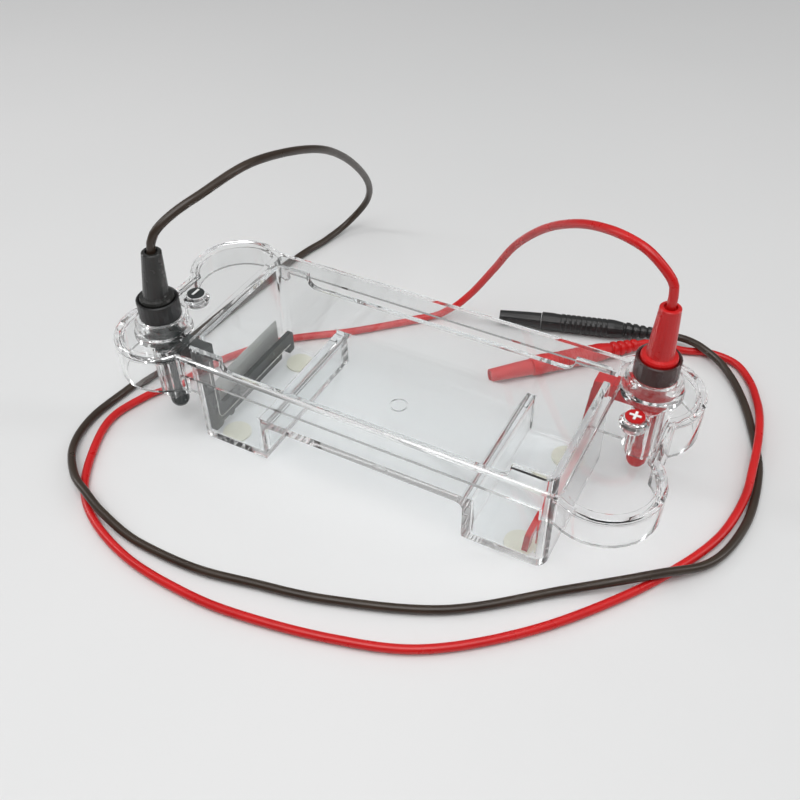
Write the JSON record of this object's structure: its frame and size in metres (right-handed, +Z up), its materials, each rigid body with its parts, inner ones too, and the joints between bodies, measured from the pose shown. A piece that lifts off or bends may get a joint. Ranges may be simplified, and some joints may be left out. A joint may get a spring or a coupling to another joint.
{
  "type": "gel electrophoresis tank",
  "caption": "Horizontal gel electrophoresis tank with raised gel stage, lift-out electrode cassettes, plug-on safety lid and long power leads.",
  "frame": {"origin": "on the table under the middle of the tank", "axes": "+X along the tank towards the anode (red) end, +Y to the back long side, +Z up"},
  "size_m": [0.3125, 0.2852, 0.1246],
  "materials": {
    "clear": "clear moulded plastic",
    "black_plastic": "semi-gloss",
    "red_plastic": "semi-gloss",
    "grey_plastic": "semi-gloss",
    "white_print": "matt",
    "black_rubber": "satin",
    "red_rubber": "satin",
    "pad": "translucent, pale yellow",
    "platinum": "bright drawn wire",
    "nickel": "plated contact"
  },
  "bodies": {
    "tank": {"tank_body": "clear", "foot_pad_cathode_front": "pad", "foot_pad_cathode_rear": "pad", "foot_pad_anode_front": "pad", "foot_pad_anode_rear": "pad", "end_label": "white_print"},
    "lid": {"lid_shell": "clear", "cathode_polarity_disc": "black_plastic", "cathode_minus_mark": "white_print", "anode_polarity_disc": "red_plastic", "anode_plus_mark": "white_print", "cathode_connector_sleeve": "black_plastic", "cathode_connector_ring": "grey_plastic", "cathode_socket_contact": "nickel", "cathode_cable_boot": "black_rubber", "cathode_lead": "black_rubber", "cathode_plug_strain_relief": "black_rubber", "cathode_plug_grip": "black_rubber", "cathode_plug_sleeve": "black_rubber", "cathode_plug_pin": "nickel", "anode_connector_sleeve": "red_plastic", "anode_connector_ring": "grey_plastic", "anode_socket_contact": "nickel", "anode_cable_boot": "red_rubber", "anode_lead": "red_rubber", "anode_plug_strain_relief": "red_rubber", "anode_plug_grip": "red_rubber", "anode_plug_sleeve": "red_rubber", "anode_plug_pin": "nickel"},
    "cathode_cassette": {"cathode_cassette_frame": "black_plastic", "cathode_platinum_wire": "platinum", "cathode_banana_pin": "nickel"},
    "anode_cassette": {"anode_cassette_frame": "red_plastic", "anode_platinum_wire": "platinum", "anode_banana_pin": "nickel"}
  },
  "joints": [
    {"name": "lid_lift", "type": "slide", "parent": "tank", "child": "lid", "axis": [0, 0, 1], "range_m": [0, 0.05]},
    {"name": "cathode_cassette_lift", "type": "slide", "parent": "tank", "child": "cathode_cassette", "axis": [0, 0, 1], "range_m": [0, 0.02]},
    {"name": "anode_cassette_lift", "type": "slide", "parent": "tank", "child": "anode_cassette", "axis": [0, 0, 1], "range_m": [0, 0.02]}
  ],
  "couplings": [
    {"joint": "cathode_cassette_lift", "follows": "lid_lift", "ratio": 0.4},
    {"joint": "anode_cassette_lift", "follows": "lid_lift", "ratio": 0.4}
  ]
}
